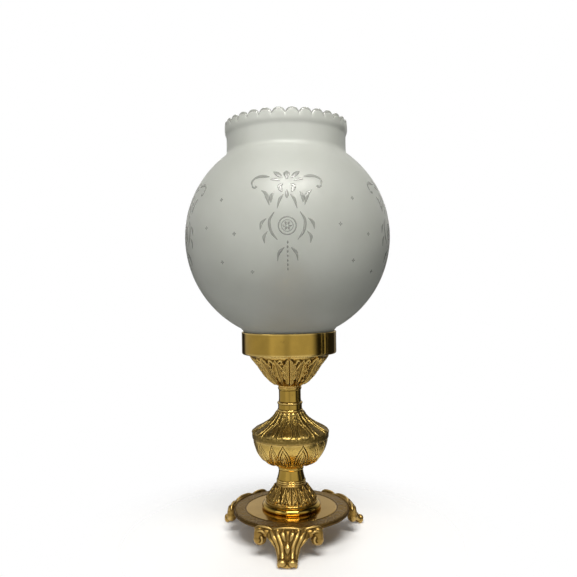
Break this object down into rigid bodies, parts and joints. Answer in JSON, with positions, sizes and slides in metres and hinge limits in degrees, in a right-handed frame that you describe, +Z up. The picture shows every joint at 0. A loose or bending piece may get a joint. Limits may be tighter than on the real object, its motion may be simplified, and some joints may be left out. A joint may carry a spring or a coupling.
{
  "type": "oil lamp",
  "caption": "Table oil lamp: cast brass stem on scrolled feet, drop-in font under a shade pan, round-wick burner, chimney and frosted ball shade with a crimped mouth.",
  "frame": {"origin": "on the lamp's axis, in the plane of the surface that the feet stand on", "axes": "+Z up along the lamp's axis; -Y towards the front foot; the wick knob is at the back, towards +Y"},
  "size_m": [0.2226, 0.2226, 0.4518],
  "materials": {
    "cast_brass": "cast relief, polished on the high places, dark patina in the recesses",
    "plate_brass": "polished disc with a stippled border",
    "polished_brass": "spun and polished",
    "burner_brass": "sheet brass, dulled by heat",
    "knob_brass": "polished, fluted edge",
    "steel": "plain, slightly dull",
    "cotton": "woven cotton, charred at the tip",
    "clear_glass": "clear",
    "frosted_glass": "acid-frosted with a clear etched pattern"
  },
  "bodies": {
    "stand": {"base_plate": "plate_brass", "foot_front": "cast_brass", "foot_right": "cast_brass", "foot_left": "cast_brass", "foot_screws": "steel", "moulding_ring": "polished_brass", "base_cone": "cast_brass", "lower_collar": "polished_brass", "knop_lower": "cast_brass", "knop_upper": "cast_brass", "neck_collar": "polished_brass", "font_cup": "cast_brass", "font_bowl": "burner_brass", "font_top": "polished_brass", "font_collar": "polished_brass", "center_rod": "steel", "rod_nut_lower": "steel", "rod_nut_upper": "steel", "rod_washer": "steel"},
    "head": {"shade_pan": "polished_brass", "shade_seat": "polished_brass", "burner_base": "burner_brass", "wick_tube": "burner_brass", "draft_tube": "burner_brass", "shaft_bracket": "burner_brass", "burner_basket": "burner_brass", "burner_gallery": "burner_brass"},
    "raiser": {"wick_shaft": "steel", "raiser_wheels": "burner_brass", "wick_knob": "knob_brass"},
    "wick": {"wick": "cotton"},
    "chimney": {"chimney": "clear_glass"},
    "shade": {"shade": "frosted_glass"}
  },
  "joints": [
    {"name": "head_lift", "type": "slide", "parent": "stand", "child": "head", "axis": [0, 0, 1], "range_m": [0, 0.12]},
    {"name": "knob_turn", "type": "hinge", "parent": "head", "child": "raiser", "pos_m": [0.0127, 0, 0.20853], "axis": [0, 1, 0], "range_deg": [-72, 96]},
    {"name": "wick_raise", "type": "slide", "parent": "head", "child": "wick", "axis": [0, 0, 1], "range_m": [-0.006, 0.008]},
    {"name": "chimney_lift", "type": "slide", "parent": "head", "child": "chimney", "axis": [0, 0, 1], "range_m": [0, 0.2]},
    {"name": "shade_lift", "type": "slide", "parent": "head", "child": "shade", "axis": [0, 0, 1], "range_m": [0, 0.26]}
  ],
  "couplings": [
    {"joint": "wick_raise", "follows": "knob_turn", "m_per_rad": 0.004728}
  ]
}
